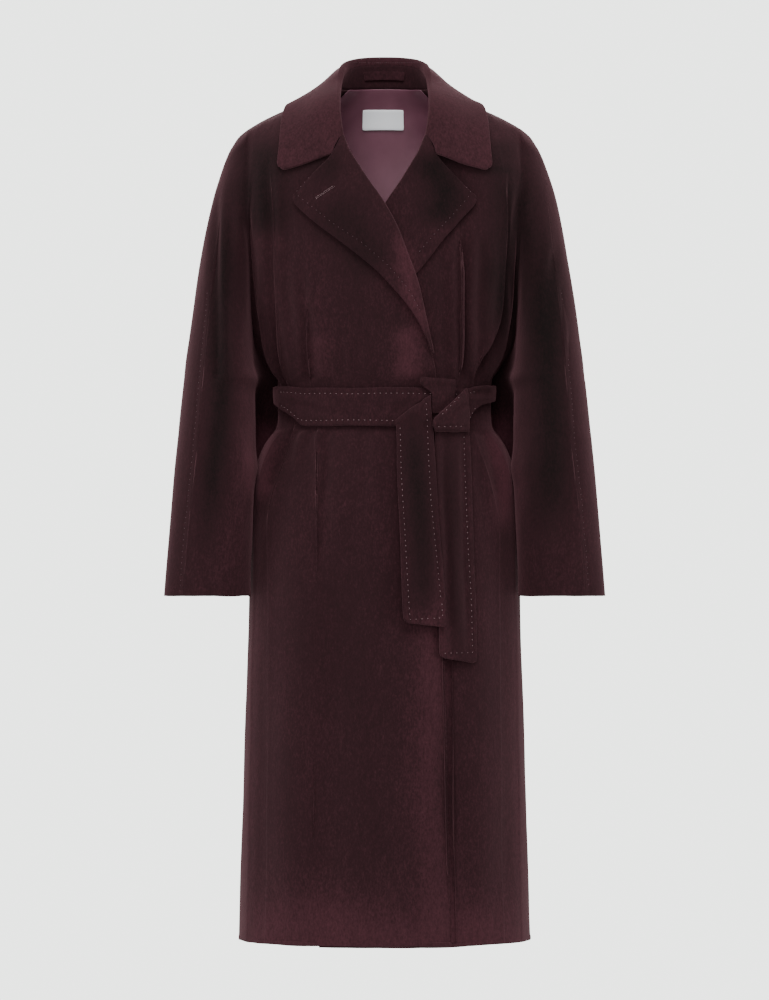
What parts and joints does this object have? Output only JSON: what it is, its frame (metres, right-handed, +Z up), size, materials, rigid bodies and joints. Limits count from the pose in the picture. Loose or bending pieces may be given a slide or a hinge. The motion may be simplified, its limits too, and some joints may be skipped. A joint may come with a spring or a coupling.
{
  "type": "double-breasted coat",
  "caption": "Long double-breasted wrap coat in dark aubergine brushed wool, with a wide notched collar, wide sleeves cut in one with the body and a tied self belt, shaped as worn",
  "frame": {"origin": "where the coat is held: on its centre plane, between the shoulder seams at the base of the neck", "axes": "+Z up, +Y from the front of the coat to its back, +X from the wearer's right to the wearer's left"},
  "size_m": [0.613, 0.3028, 1.2389],
  "materials": {
    "wool": "brushed wool with a short raised nap, dark aubergine",
    "lining": "smooth satin lining, rose plum",
    "label_satin": "white satin ribbon, blank"
  },
  "bodies": {
    "root": {"front_right": "wool", "back_right": "wool", "front_left": "wool", "back_left": "wool", "lapel_right": "wool", "lapel_left": "wool", "collar": "wool", "collar_stand": "wool", "belt_waist": "wool", "belt_end_front": "wool", "belt_end_under": "wool", "belt_knot": "wool", "belt_knot_cap": "wool", "hanger_loop": "wool", "lining_back": "lining", "label": "label_satin"}
  },
  "joints": []
}
